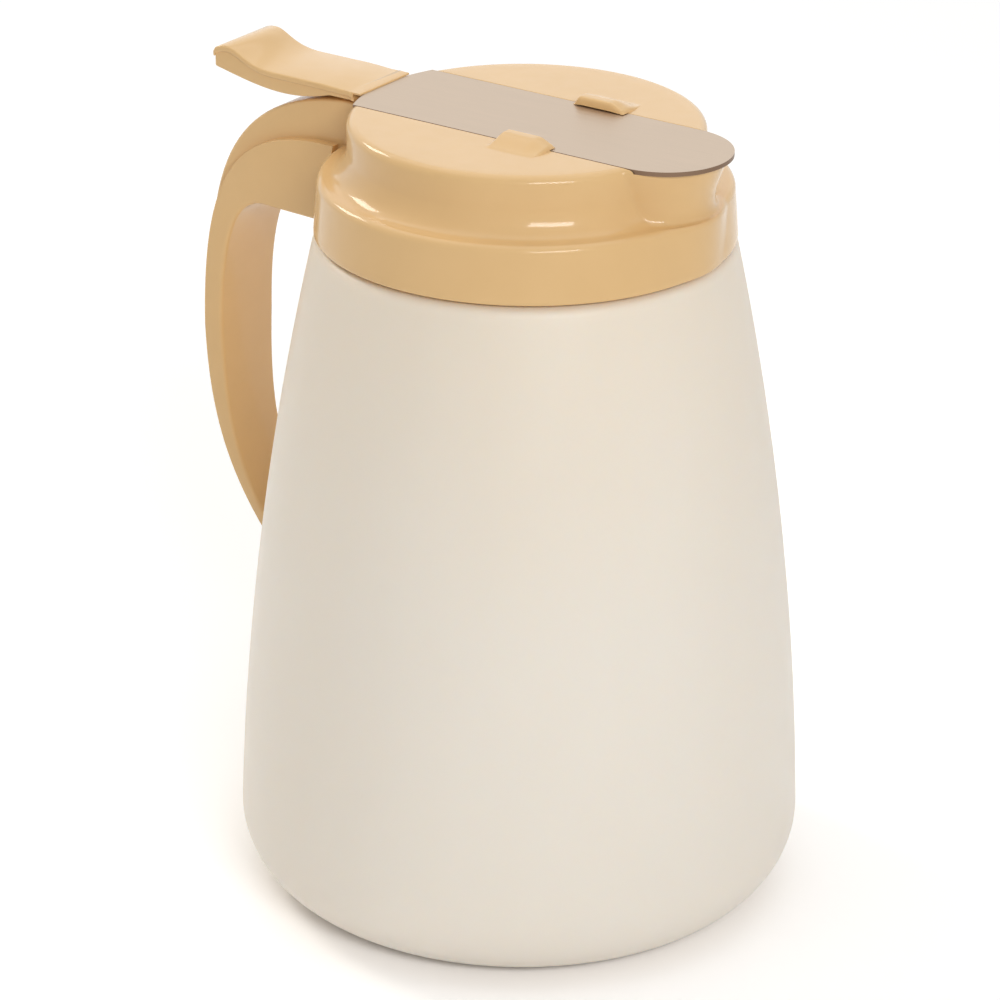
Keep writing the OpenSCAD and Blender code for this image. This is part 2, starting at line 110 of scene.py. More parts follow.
def ladder(rungs):
    # rungs are (outer point, inner point, half width); the end face is drawn out from one rung to the next
    bm = bmesh.new()

    def corners(rung):
        (ox, oz), (ix, iz), half = rung
        return [Vector((ox, -half, oz)), Vector((ix, -half, iz)),
                Vector((ix, half, iz)), Vector((ox, half, oz))]

    last = corners(rungs[0])
    face = bm.faces.new([bm.verts.new(p) for p in last])
    for rung in rungs[1:]:
        face = drawnOut(bm, face)
        target = corners(rung)
        for v in face.verts:
            v.co = target[min(range(4), key=lambda k: (last[k] - v.co).length)]
        last = target
    bmesh.ops.recalc_face_normals(bm, faces=bm.faces)
    return bm


def sharpEdges(bm, behind=math.inf, degrees=45):
    # edges that turn by more than the given angle and lie wholly on the -X side of behind
    limit = math.radians(degrees)
    return [e for e in bm.edges if len(e.link_faces) == 2 and e.calc_face_angle(0) > limit
            and max(v.co.x for v in e.verts) < behind]


def roundEdges(bm, edges, width, segments):
    bmesh.ops.bevel(bm, geom=edges, offset=width, offset_type="OFFSET", segments=segments, profile=0.5,
                    affect="EDGES", material=-1, clamp_overlap=True)


def makeObject(name, bm):
    mesh = bpy.data.meshes.new(name)
    bm.to_mesh(mesh)
    bm.free()
    obj = bpy.data.objects.new(name, mesh)
    scene.collection.objects.link(obj)
    return obj


def combine(obj, others, operation):
    for other in others:
        mod = obj.modifiers.new("combine", "BOOLEAN")
        mod.operation = operation
        mod.solver = "EXACT"
        mod.object = other
        bpy.context.view_layer.update()
        result = bpy.data.meshes.new_from_object(obj.evaluated_get(bpy.context.evaluated_depsgraph_get()))
        obj.modifiers.clear()
        old = obj.data
        obj.data = result
        bpy.data.meshes.remove(old)
        bpy.data.objects.remove(other)


def finishPiece(obj, finish, body, nodes, crease):
    # the mesh is scaled, not the object, so that the piece stands in the frame with its object at the origin
    bm = bmesh.new()
    bm.from_mesh(obj.data)
    bmesh.ops.remove_doubles(bm, verts=bm.verts, dist=mergeDistance)
    bmesh.ops.dissolve_degenerate(bm, edges=bm.edges, dist=mergeDistance)
    bmesh.ops.recalc_face_normals(bm, faces=bm.faces)
    bmesh.ops.scale(bm, vec=(metresPerMillimetre,) * 3, verts=bm.verts)
    for f in bm.faces:
        f.smooth = True
    bm.to_mesh(obj.data)
    bm.free()
    obj.data.set_sharp_from_angle(angle=math.radians(crease))
    obj.data.materials.clear()
    obj.data.materials.append(finish)
    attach(obj, body)
    if nodes:
        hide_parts(*nodes)
    return obj


# finishes: object coordinates are in metres here, so noise scales are turns in a metre

noiseSpan = (0.3, 0.7)  # noise seldom leaves this range


def newFinish(name):
    mat = bpy.data.materials.new(name)
    mat.use_nodes = True
    tree = mat.node_tree
    shader = tree.nodes["Principled BSDF"]
    coords = tree.nodes.new("ShaderNodeTexCoord")
    return mat, tree, shader, coords


def noiseNode(tree, coords, scale, detail, stretch=None):
    source = coords.outputs["Object"]
    if stretch:
        mapping = tree.nodes.new("ShaderNodeMapping")
        mapping.inputs["Scale"].default_value = stretch
        tree.links.new(source, mapping.inputs["Vector"])
        source = mapping.outputs["Vector"]
    noise = tree.nodes.new("ShaderNodeTexNoise")
    noise.inputs["Scale"].default_value = scale
    noise.inputs["Detail"].default_value = detail
    tree.links.new(source, noise.inputs["Vector"])
    return noise


def rangeNode(tree, value, source, target):
    node = tree.nodes.new("ShaderNodeMapRange")
    node.inputs["From Min"].default_value, node.inputs["From Max"].default_value = source
    node.inputs["To Min"].default_value, node.inputs["To Max"].default_value = target
    tree.links.new(value, node.inputs["Value"])
    return node.outputs["Result"]


def tintNode(tree, noise, dark, light, span=noiseSpan):
    # colour that drifts between dark and light with the noise
    ramp = tree.nodes.new("ShaderNodeValToRGB")
    for element, position, colour in zip(ramp.color_ramp.elements, span, (dark, light)):
        element.position = position
        element.color = (*colour, 1)
    tree.links.new(noise.outputs["Fac"], ramp.inputs["Fac"])
    return ramp.outputs["Color"]


def roughnessFrom(tree, noise, shader, roughness):
    tree.links.new(rangeNode(tree, noise.outputs["Fac"], noiseSpan, roughness), shader.inputs["Roughness"])


def bumpNode(tree, noise, relief, below=None):
    bump = tree.nodes.new("ShaderNodeBump")
    bump.inputs["Strength"].default_value, bump.inputs["Distance"].default_value = relief
    tree.links.new(noise.outputs["Fac"], bump.inputs["Height"])
    if below:
        tree.links.new(below.outputs["Normal"], bump.inputs["Normal"])
    return bump


def setSockets(shader, values):
    for socket, value in values.items():
        shader.inputs[socket].default_value = value


beige = {
    "light": (0.765, 0.500, 0.228),
    "dark": (0.735, 0.474, 0.209),
    "roughness": (0.46, 0.56),
    "clouds": 45, "haze": 260, "peel": 900, "sink": 70,
    "peelRelief": (0.06, 0.00004), "sinkRelief": (0.05, 0.0005),
    "sockets": {"IOR": 1.45, "Specular IOR Level": 0.2, "Coat Weight": 0.85, "Coat Roughness": 0.11,
                "Coat IOR": 1.4},
}


def mouldedBeige():
    # glossy moulded plastic: a satin body under a clearer skin, with a faint orange peel and sink marks
    mat, tree, shader, coords = newFinish("mouldedBeige")
    clouds = noiseNode(tree, coords, beige["clouds"], 3)
    tree.links.new(tintNode(tree, clouds, beige["dark"], beige["light"]), shader.inputs["Base Color"])
    roughnessFrom(tree, noiseNode(tree, coords, beige["haze"], 4), shader, beige["roughness"])
    fine = bumpNode(tree, noiseNode(tree, coords, beige["peel"], 1), beige["peelRelief"])
    broad = bumpNode(tree, noiseNode(tree, coords, beige["sink"], 1), beige["sinkRelief"], fine)
    tree.links.new(broad.outputs["Normal"], shader.inputs["Normal"])
    setSockets(shader, beige["sockets"])
    return mat


milky = {
    "light": (0.900, 0.810, 0.710),
    "dark": (0.880, 0.780, 0.670),
    "tintSpan": (0.32, 0.68),
    "paintedCapGlow": (0.995, 0.955, 0.905),  # painted glow of the cap through the wall; multiplies the colour, in full above the upper of capGlowHeights
    "capGlowHeights": (0.085, 0.160),
    "roughness": (0.38, 0.50),
    "clouds": 16, "cloudStretch": (1.0, 1.0, 0.45), "haze": 150,
    "peel": 900, "flow": 40, "flowStretch": (1.0, 1.0, 0.12),
    "peelRelief": (0.10, 0.00008), "flowRelief": (0.06, 0.0006),
    "sockets": {"Subsurface Weight": 0.35, "Subsurface Radius": (1.0, 0.75, 0.55),
                "Subsurface Scale": 0.005, "IOR": 1.5},
}


def mixColour(tree, blend, factor, first, second):
    # first and second are either an output or a plain colour
    mix = tree.nodes.new("ShaderNodeMix")
    mix.data_type, mix.blend_type = "RGBA", blend
    tree.links.new(factor, mix.inputs[0])
    for socket, value in ((mix.inputs[6], first), (mix.inputs[7], second)):
        if isinstance(value, tuple):
            socket.default_value = (*value, 1)
        else:
            tree.links.new(value, socket)
    return mix.outputs[2]


def milkyWall():
    mat, tree, shader, coords = newFinish("milkyWall")
    clouds = noiseNode(tree, coords, milky["clouds"], 3, milky["cloudStretch"])
    tint = tintNode(tree, clouds, milky["dark"], milky["light"], milky["tintSpan"])
    # painted glow: the wall is tinted warmer below the cap, standing in for the cap's colour shining through
    # it
    place = tree.nodes.new("ShaderNodeSeparateXYZ")
    tree.links.new(coords.outputs["Object"], place.inputs[0])
    share = rangeNode(tree, place.outputs["Z"], milky["capGlowHeights"], (0, 1))
    tree.links.new(mixColour(tree, "MULTIPLY", share, tint, milky["paintedCapGlow"]), shader.inputs["Base Color"])
    roughnessFrom(tree, noiseNode(tree, coords, milky["haze"], 4), shader, milky["roughness"])
    fine = bumpNode(tree, noiseNode(tree, coords, milky["peel"], 2), milky["peelRelief"])
    flow = noiseNode(tree, coords, milky["flow"], 2, milky["flowStretch"])
    broad = bumpNode(tree, flow, milky["flowRelief"], fine)
    tree.links.new(broad.outputs["Normal"], shader.inputs["Normal"])
    setSockets(shader, milky["sockets"])
    return mat


steel = {
    "light": (0.510, 0.408, 0.315),
    "dark": (0.458, 0.362, 0.273),
    # edge is a painted shade colour for the plate's upright faces, not a darker metal
    "edge": (0.230, 0.150, 0.100),
    "edgeShadeSpan": (0.3, 0.8),  # upward share of the normal, from the edge's painted shade to brushed face
    "roughness": (0.36, 0.46),
    "grain": 60, "grainStretch": (1.0, 60.0, 60.0), "relief": (0.10, 0.00004),
}


def satinSteel():
    mat, tree, shader, coords = newFinish("satinSteel")
    grain = noiseNode(tree, coords, steel["grain"], 4, steel["grainStretch"])
    tint = tintNode(tree, grain, steel["dark"], steel["light"])
    # painted reflection and shade: upright faces, the sheared edge among them, are darkened against the
    # brushed faces as though they mirrored a darker room and lay in shadow
    facing = tree.nodes.new("ShaderNodeSeparateXYZ")
    tree.links.new(coords.outputs["Normal"], facing.inputs[0])
    flat = tree.nodes.new("ShaderNodeMath")
    flat.operation = "ABSOLUTE"
    tree.links.new(facing.outputs["Z"], flat.inputs[0])
    face = rangeNode(tree, flat.outputs[0], steel["edgeShadeSpan"], (0, 1))
    tree.links.new(mixColour(tree, "MIX", face, steel["edge"], tint), shader.inputs["Base Color"])
    roughnessFrom(tree, grain, shader, steel["roughness"])
    brushed = bumpNode(tree, grain, steel["relief"])
    tree.links.new(brushed.outputs["Normal"], shader.inputs["Normal"])
    setSockets(shader, {"Metallic": 1.0})
    return mat


wire = {"light": (0.66, 0.66, 0.68), "dark": (0.52, 0.52, 0.53), "roughness": (0.30, 0.38), "drawn": 3000}


def brightWire():
    mat, tree, shader, coords = newFinish("brightWire")
    drawn = noiseNode(tree, coords, wire["drawn"], 2)
    tree.links.new(tintNode(tree, drawn, wire["dark"], wire["light"]), shader.inputs["Base Color"])
    roughnessFrom(tree, drawn, shader, wire["roughness"])
    setSockets(shader, {"Metallic": 1.0})
    return mat


rubber = {"light": (0.66, 0.63, 0.57), "dark": (0.56, 0.53, 0.47), "roughness": (0.6, 0.8), "dust": 500,
          "relief": (0.15, 0.00005)}


def softSeal():
    mat, tree, shader, coords = newFinish("softSeal")
    dust = noiseNode(tree, coords, rubber["dust"], 4)
    tree.links.new(tintNode(tree, dust, rubber["dark"], rubber["light"]), shader.inputs["Base Color"])
    roughnessFrom(tree, dust, shader, rubber["roughness"])
    grain = bumpNode(tree, dust, rubber["relief"])
    tree.links.new(grain.outputs["Normal"], shader.inputs["Normal"])
    return mat


beigeFinish = mouldedBeige()
milkyFinish = milkyWall()
steelFinish = satinSteel()
wireFinish = brightWire()
sealFinish = softSeal()
print("finishes made")


# jar: one hollow turned shell with a screw neck

jar = {
    "baseRadius": 65, "topRadius": 47, "shoulderZ": 157.7, "bow": 3.3, "cornerRadius": 18,
    "shoulderRadius": 3, "wall": 2, "neckRadius": 42, "neckHeight": 9.9, "neckWall": 2, "neckCove": 0.8,
    "rimRound": 0.5, "threadStart": 0, "threadRise": 2.1, "footOuter": 46.5, "footInner": 43, "footRise": 0.7,
    "footDish": 0.02, "footRun": 3, "footRound": 1.4, "hub": 20, "steps": 180, "sideSteps": 30,
}
thread = {
    "depth": 1.4, "root": 1.5, "crest": 0.6, "sunk": 0.8, "bevel": (0.2, 0.15), "lead": 6.0, "steps": 90,
    "fade": (-0.05, 0.12),
}


def sideArc():
    low = Vector((jar["baseRadius"], jar["cornerRadius"]))
    high = Vector((jar["topRadius"], jar["shoulderZ"]))
    chord = (high - low).length
    radius = (chord * chord / 4 + jar["bow"] ** 2) / (2 * jar["bow"])
    outwards = Vector((high.y - low.y, low.x - high.x)) / chord
    return (low + high) / 2 - outwards * (radius - jar["bow"]), radius


sideCentre, sideRadius = sideArc()


def sideAt(z, inset=0):
    return sideCentre.x + math.sqrt((sideRadius - inset) ** 2 - (z - sideCentre.y) ** 2)


def jarWall(inset):
    def centreOf(radius, z):
        return Vector((sideAt(z, radius), z))

    def seenAt(point):
        return math.degrees(math.atan2(point.y - sideCentre.y, point.x - sideCentre.x))

    corner = centreOf(jar["cornerRadius"], jar["cornerRadius"])
    shoulder = centreOf(jar["shoulderRadius"], jar["shoulderZ"] - jar["shoulderRadius"])
    points = arcPoints(corner, jar["cornerRadius"] - inset, -90, seenAt(corner), 20)
    low = sideCentre.y + (sideRadius - inset) * math.sin(math.radians(seenAt(corner)))
    high = sideCentre.y + (sideRadius - inset) * math.sin(math.radians(seenAt(shoulder)))
    for i in range(1, jar["sideSteps"]):
        z = low + (high - low) * i / jar["sideSteps"]
        points.append((sideAt(z, inset), z))
    return points + arcPoints(shoulder, jar["shoulderRadius"] - inset, seenAt(shoulder), 90, 8)


def threadRidge(radius, side, start, z):
    # one turn of ridge, drawn as a small section and spun up the neck; side is 1 outwards, -1 inwards
    t = thread
    a = math.radians(start)
    back, soft = t["bevel"]
    upper = [(t["depth"], t["crest"] - soft), (t["depth"] - back, t["crest"] + soft), (-t["sunk"], t["root"])]
    section = [(q, -h) for q, h in reversed(upper)] + upper
    bm = bmesh.new()
    verts = [bm.verts.new(((radius + side * q) * math.cos(a), (radius + side * q) * math.sin(a), z + h))
             for q, h in section]
    face = bm.faces.new(verts)
    bmesh.ops.spin(bm, geom=[face], cent=(0, 0, 0), axis=(0, 0, 1), dvec=(0, 0, t["lead"] / t["steps"]),
                   angle=math.radians(360), steps=t["steps"], use_merge=False, use_normal_flip=False,
                   use_duplicate=False)
    # both ends run out into the wall
    for v in bm.verts:
        reach = math.hypot(v.co.x, v.co.y)
        height = side * (reach - radius)
        if height > 0:
            turn = (v.co.z - z) / t["lead"]
            fade = smoothStep(*t["fade"], turn) * smoothStep(*t["fade"], 1 - turn)
            k = (radius + side * height * fade) / reach
            v.co.x *= k
            v.co.y *= k
    bmesh.ops.recalc_face_normals(bm, faces=bm.faces)
    return makeObject("ridge", bm)


def buildJar():
    j = jar
    rimZ = j["shoulderZ"] + j["neckHeight"]
    neckIn = j["neckRadius"] - j["neckWall"]
    footX, cove, rim = j["footInner"] - j["footRun"], j["neckCove"], j["rimRound"]
    foot = [(0, j["footRise"]), (j["hub"], j["footRise"]), (footX, j["footRise"])]
    foot += arcPoints((footX, j["footRise"] - j["footRound"]), j["footRound"], 80, 30, 3)
    foot += [(j["footInner"], j["footDish"]), (j["footOuter"], 0)]
    outer = foot + jarWall(0)
    outer += arcPoints((j["neckRadius"] + cove, j["shoulderZ"] + cove), cove, 270, 180, 4)
    outer += arcPoints((j["neckRadius"] - rim, rimZ - rim), rim, 0, 90, 4)
    inner = arcPoints((neckIn + rim, rimZ - rim), rim, 90, 180, 4)
    inner += [(neckIn, j["shoulderZ"] + j["wall"]), (neckIn, j["shoulderZ"] - j["wall"])]
    inner += list(reversed(jarWall(j["wall"]))) + [(j["hub"], j["wall"]), (0, j["wall"])]
    bm = turnProfile(outer + inner, [(0, 360, j["steps"])])
    bmesh.ops.recalc_face_normals(bm, faces=bm.faces)
    body = makeObject("jarShell", bm)
    ridge = threadRidge(j["neckRadius"], 1, j["threadStart"], j["shoulderZ"] + j["threadRise"])
    combine(body, [ridge], "UNION")
    return finishPiece(body, milkyFinish, "jar", ["jar"], 40)


jarShell = buildJar()
print("jar made:", len(jarShell.data.polygons), "faces")


# sealing ring: a flat band on the jar's rim

seal = {"outer": 42, "inner": 40, "low": 167.6, "high": 169.1, "edge": 0.3}


def buildSeal():
    e = seal["edge"]
    profile = arcPoints((seal["outer"] - e, seal["low"] + e), e, 270, 360, 3)
    profile += arcPoints((seal["outer"] - e, seal["high"] - e), e, 0, 90, 3)
    profile += arcPoints((seal["inner"] + e, seal["high"] - e), e, 90, 180, 3)
    profile += arcPoints((seal["inner"] + e, seal["low"] + e), e, 180, 270, 3)
    ring = makeObject("sealRing", turnProfile(profile, [(0, 360, 120)]))
    return finishPiece(ring, sealFinish, "seal", ["sealing_ring"], 50)


sealRing = buildSeal()
print("sealing ring made")


# the spout: the front of the collar and of the cover is pushed out into it

spout = {
    "x": 35, "lipRadius": 14.5, "lipZ": 183.5, "taper": 0.33, "collarTaper": 0.26, "footCove": 0.4,
    "wall": 2, "boreTaper": 0.30, "boreOver": 2.5, "floorZ": 173.3, "blend": 8, "pushHalf": 58,
    "turnBack": 0.985, "fallOff": 4,
}
frontSectors = [(-60, 60, 200), (60, 300, 120)]  # finer steps at the front


def spoutReach(angle, z, taper):
    # distance from the jar's axis to the spout's outside; it falls off steeply where the outside turns back
    s = spout
    radius = s["lipRadius"] - taper * (s["lipZ"] - z)
    across = s["x"] * math.sin(angle)
    if abs(across) < radius * s["turnBack"]:
        return s["x"] * math.cos(angle) + math.sqrt(radius ** 2 - across ** 2)
    edge = math.asin(min(1, radius * s["turnBack"] / s["x"]))
    last = s["x"] * math.cos(edge) + radius * math.sqrt(1 - s["turnBack"] ** 2)
    return last - (abs(angle) - edge) * s["x"] * s["fallOff"]


def pushSpout(bm, reachAt, baseAt, weightAt):
    # moves the front of a turned shell outwards, blended where the spout leaves the round
    widest = math.radians(spout["pushHalf"])
    for v in bm.verts:
        r, angle = math.hypot(v.co.x, v.co.y), math.atan2(v.co.y, v.co.x)
        if abs(angle) > widest or r < 1:
            continue
        base = baseAt(r, v.co.z)
        push = (smoothMax(base, reachAt(angle, v.co.z, base), spout["blend"]) - base) * weightAt(r, v.co.z)
        if push > 0:
            v.co.x += push * math.cos(angle)
            v.co.y += push * math.sin(angle)


# screw collar: a turned skirt with a ledge on top and a thread inside

collar = {
    "low": 158.3, "ledgeUnder": 169.1, "ledge": 171.3, "inner": 43.9, "outer": 47.2, "outerTop": 46.3,
    "hole": 38.8, "edge": 1.8, "lowEdge": 0.5, "mouthEdge": 0.4, "rootBevel": 0.6, "skirtSteps": 8,
    "ledgeLoops": (43.6, 41.5), "pushWall": (0.2, 1.8), "pushLedge": (41, 43), "threadStart": 140,
    "threadDrop": 0.1,
}


def buildCollar():
    c = collar
    mouth, low, bevel = c["mouthEdge"], c["lowEdge"], c["rootBevel"]
    topZ = c["ledge"] - c["edge"]
    profile = arcPoints((c["inner"] + mouth, c["low"] + mouth), mouth, 180, 270, 3)
    profile += arcPoints((c["outer"] - low, c["low"] + low), low, 270, 360, 4)
    for i in range(1, c["skirtSteps"]):
        z = c["low"] + low + (topZ - c["low"] - low) * i / c["skirtSteps"]
        profile.append((c["outer"] + (c["outerTop"] - c["outer"]) * i / c["skirtSteps"], z))
    profile += arcPoints((c["outerTop"] - c["edge"], topZ), c["edge"], 0, 90, 8)
    profile += [(r, c["ledge"]) for r in (*c["ledgeLoops"], c["hole"])]
    profile += [(c["hole"], c["ledgeUnder"]), (c["inner"] - bevel, c["ledgeUnder"]),
                (c["inner"], c["ledgeUnder"] - bevel)]
    bm = turnProfile(profile, frontSectors)

    def reachAt(angle, z, base):
        return spoutReach(angle, z, spout["collarTaper"])

    def weightAt(r, z):
        return smoothStep(*c["pushWall"], r - c["inner"]) if z < topZ else smoothStep(*c["pushLedge"], r)

    pushSpout(bm, reachAt, lambda r, z: r, weightAt)
    bmesh.ops.recalc_face_normals(bm, faces=bm.faces)
    body = makeObject("screwCollar", bm)
    ridge = threadRidge(c["inner"], -1, c["threadStart"], jar["shoulderZ"] - c["threadDrop"])
    combine(body, [ridge], "UNION")
    return finishPiece(body, beigeFinish, "top", ["collar"], 40)


screwCollar = buildCollar()
print("collar made:", len(screwCollar.data.polygons), "faces")


# cover: ring wall, deck and spout in one, with the gate's channel, the bore and the spring's trough

cover = {
    "ring": 39.7, "ringInner": 37.3, "spigot": 38.7, "spigotLow": 169.5, "spigotEdge": 0.3, "ledge": 171.3,
    "ledgeLoop": 40.5, "skirtRun": 0.75, "coveWidth": 4.2, "coveHeight": 5.6, "coveStart": 196,
    "coveLand": 0.1, "wallLoops": (178.3, 179.8, 181.2), "deck": 184.5, "deckUnder": 182.1, "deckEdge": 2.0,
    "deckLoops": (35, 31, 27, 22, 14, 6, 0), "underHub": 20, "underEdge": 0.8, "pushDeck": 22,
    "pushWall": (38.75, 39.6), "channelHalf": 15.38, "channelZ": 183.5, "channelReach": 55, "flare": 0.25,
    "flareOver": 0.3, "clearZ": 190,
    "floorUnder": 181.1, "floorHalf": 18, "floorRadius": 37.5, "overlap": 0.5,
    "trough": (-37.0, -2.5), "troughHalf": 5.2, "troughLow": 175.2,
    "slot": (-35.4, -4.1), "slotHalf": 3.6, "slotLow": 176.8, "slotHigh": 187,
}


def boxPiece(name, low, high):
    bm = bmesh.new()
    bmesh.ops.create_cube(bm, size=1)
    low, high = Vector(low), Vector(high)
    bmesh.ops.scale(bm, vec=high - low, verts=bm.verts)
    bmesh.ops.translate(bm, vec=(low + high) / 2, verts=bm.verts)
    return makeObject(name, bm)


def conePiece(name, x, z0, z1, r0, r1, segments=128):
    bm = bmesh.new()
    bmesh.ops.create_cone(bm, cap_ends=True, segments=segments, radius1=r0, radius2=r1, depth=z1 - z0)
    bmesh.ops.translate(bm, vec=(x, 0, (z0 + z1) / 2), verts=bm.verts)
    return makeObject(name, bm)


def channelCutter():
    # the gate's channel, with a small flare where it breaks the deck
    c = cover
    half, low = c["channelHalf"], c["deck"] - c["flare"]
    wide, high = half + c["flare"] + c["flareOver"], c["deck"] + c["flareOver"]
    section = [(-half, c["channelZ"]), (half, c["channelZ"]), (half, low), (wide, high), (wide, c["clearZ"]),
               (-wide, c["clearZ"]), (-wide, high), (-half, low)]
    bm = bmesh.new()
    face = bm.faces.new([bm.verts.new((-c["channelReach"], y, z)) for y, z in section])
    made = bmesh.ops.extrude_face_region(bm, geom=[face])
    moved = [v for v in made["geom"] if isinstance(v, bmesh.types.BMVert)]
    bmesh.ops.translate(bm, vec=(2 * c["channelReach"], 0, 0), verts=moved)
    bmesh.ops.recalc_face_normals(bm, faces=bm.faces)
    return makeObject("channelCutter", bm)


def coverProfile():
    c = cover
    foot, step, under = c["ring"] + c["coveWidth"], c["spigotEdge"], c["underEdge"]
    profile = [(c["ringInner"], c["spigotLow"]), (c["spigot"] - step, c["spigotLow"]),
               (c["spigot"], c["spigotLow"] + step), (c["spigot"], c["ledge"]), (c["ledgeLoop"], c["ledge"]),
               (foot + c["skirtRun"], c["ledge"])]
    wide = c["coveWidth"] / -math.cos(math.radians(c["coveStart"]))
    tall = c["coveHeight"] / (1 + math.sin(math.radians(c["coveStart"])))
    for x, y in arcPoints((0, 0), 1, 270, c["coveStart"], 20):
        profile.append((foot + wide * x, c["ledge"] + c["coveLand"] + tall * (1 + y)))
    profile += [(c["ring"], z) for z in c["wallLoops"]]
    profile += arcPoints((c["ring"] - c["deckEdge"], c["deck"] - c["deckEdge"]), c["deckEdge"], 0, 90, 8)
    profile += [(r, c["deck"]) for r in c["deckLoops"]]
    profile += [(0, c["deckUnder"]), (c["underHub"], c["deckUnder"]),
                (c["ringInner"] - under, c["deckUnder"]), (c["ringInner"], c["deckUnder"] - under)]
    return profile


def buildCover():
    c = cover
    wallTop = c["deck"] - c["deckEdge"]
    coveTop = c["ledge"] + c["coveLand"] + c["coveHeight"]
    bm = turnProfile(coverProfile(), frontSectors)

    def baseAt(r, z):
        return r if z < coveTop else c["ring"]

    def weightAt(r, z):
        if z > wallTop:
            return smoothStep(c["pushDeck"], c["ring"] - c["deckEdge"], r)
        return smoothStep(*c["pushWall"], r)

    def reachAt(angle, z, base):
        return spoutReach(angle, z, spout["taper"]) + spout["footCove"] * (base - c["ring"])

    pushSpout(bm, reachAt, baseAt, weightAt)
    bmesh.ops.recalc_face_normals(bm, faces=bm.faces)
    body = makeObject("deckCover", bm)
    half, under, span, lap = c["floorHalf"], c["floorUnder"], c["floorRadius"], c["overlap"]
    floor = boxPiece("floor", (-span, -half, under), (span, half, c["deck"] - lap))
    combine(floor, [conePiece("round", 0, under - 1, c["deck"], span, span)], "INTERSECT")
    trough = boxPiece("trough", (c["trough"][0], -c["troughHalf"], c["troughLow"]),
                      (c["trough"][1], c["troughHalf"], under + lap))
    combine(body, [floor, trough], "UNION")
    radius, slope = spout["lipRadius"] - spout["wall"], spout["boreTaper"]
    low, over = spout["floorZ"], spout["boreOver"]
    bore = conePiece("bore", spout["x"], low, spout["lipZ"] + over, radius - slope * (spout["lipZ"] - low),
                     radius + slope * over)
    slot = boxPiece("slot", (c["slot"][0], -c["slotHalf"], c["slotLow"]),
                    (c["slot"][1], c["slotHalf"], c["slotHigh"]))
    combine(body, [channelCutter(), bore, slot], "DIFFERENCE")
    return finishPiece(body, beigeFinish, "top", ["cover"], 40)


coverShell = buildCover()
print("cover made:", len(coverShell.data.polygons), "faces")


# hold-down lugs: one at each side of the gate plate

lug = {
    "x": 3.3, "length": 13.2, "inner": 13.4, "outer": 22.4, "height": 2.2, "ramp": 4.0, "rampEnd": 0.7,
    "rampSoft": (-0.15, 1.05), "rise": (-0.4, 1.6), "gateSide": 15.6, "crest": 1.4, "crestSoft": 1.5,
    "edge": 0.8, "gap": 0.12, "lip": 0.1, "sunk": 0.12, "root": 0.4, "undercut": 0.2,
    "undercutEnds": (2.5, 4), "cells": (58, 42),
}


def buildLug(name, side):
    # a grid pushed up into a soft wedge that holds the plate down, with its lip cut under towards the plate
    g, deck = lug, cover["deck"]
    span, land = g["outer"] - g["inner"], g["gateSide"] - g["inner"]
    bm = bmesh.new()
    bmesh.ops.create_grid(bm, x_segments=g["cells"][0], y_segments=g["cells"][1], size=0.5)
    bmesh.ops.translate(bm, vec=(0.5, 0.5, 0), verts=bm.verts)
    bmesh.ops.scale(bm, vec=(g["length"], span, 1), verts=bm.verts)
    bmesh.ops.translate(bm, vec=(g["x"], g["inner"], deck), verts=bm.verts)
    made = bmesh.ops.extrude_face_region(bm, geom=list(bm.faces))
    upper = [v for v in made["geom"] if isinstance(v, bmesh.types.BMVert)]
    lower = set(bm.verts) - set(upper)
    for v in upper:
        along, across = v.co.x - g["x"], v.co.y - g["inner"]
        fall = smoothStep(span, g["gateSide"] + g["crest"] - g["inner"] - g["crestSoft"], across)
        down = min(1, max(0, (g["length"] - along) / g["ramp"]))
        crest = (g["rampEnd"] + (g["height"] - g["rampEnd"]) * smoothStep(*g["rampSoft"], down)) * fall
        crest *= smoothStep(*g["rise"], along)
        for d in (across, g["length"] - along):
            if d < g["edge"]:
                crest -= g["edge"] - math.sqrt(max(0, g["edge"] ** 2 - (g["edge"] - d) ** 2))
        v.co.z = deck + max(crest, -g["sunk"] if across > land else g["gap"] + g["lip"])
    for v in lower:
        along, overhang = v.co.x - g["x"], g["gateSide"] - v.co.y
        v.co.z = deck - g["root"]
        if overhang > -0.01:
            begin, end = g["undercutEnds"]
            lift = smoothStep(0, begin, along) * smoothStep(0, end, g["length"] - along)
            v.co.z = deck + g["gap"] + g["undercut"] * lift * overhang / land
    bmesh.ops.recalc_face_normals(bm, faces=bm.faces)
    if side < 0:
        bmesh.ops.scale(bm, vec=(1, -1, 1), verts=bm.verts)
        bmesh.ops.reverse_faces(bm, faces=bm.faces)
    return finishPiece(makeObject(name, bm), beigeFinish, "top", (), 50)


lugNear = buildLug("lugNear", -1)
lugFar = buildLug("lugFar", 1)
print("hold-down lugs made")


# handle: a tapered strap with a narrower rib along its top

handle = {
    "width": 20, "tipWidth": 14, "reach": 83.4, "bulgeZ": 120, "grip": 4.9, "tip": 4.6, "tipZ": 66,
    "tipGap": 1.4, "rootDepth": 18.8, "rootGap": 1.4, "hollow": 12, "hollowRise": 0.5, "topRun": 25,
    "topBend": 13, "outerPull": (0.4, 0.22), "innerPull": (0.45, 0.24), "behind": -50,
    "tipRungs": ((1.0, 2.4, 0.2, 0.9, 0.4), (2.0, 3.1, 1.2, 1.5, 1.2)),
    "gripEdge": 2.4, "backEdge": 1.8, "rootX": -47.8,
    "ribWidth": 15.5, "ribHeight": 10.4, "ribBend": 16, "ribFall": 2, "ribHug": 0.8, "ribEnd": 18,
    "ribProud": 0.6, "ribX": -44.3, "ribSeat": -39.3, "ribEdge": 1.2,
    "ribEdgeFrom": -40.1, "ribRoot": ((-39.3, 1.2), (-46.5, 1.6), (-53.8, 5), (-71.4, 9), (-79.2, 18)),
}


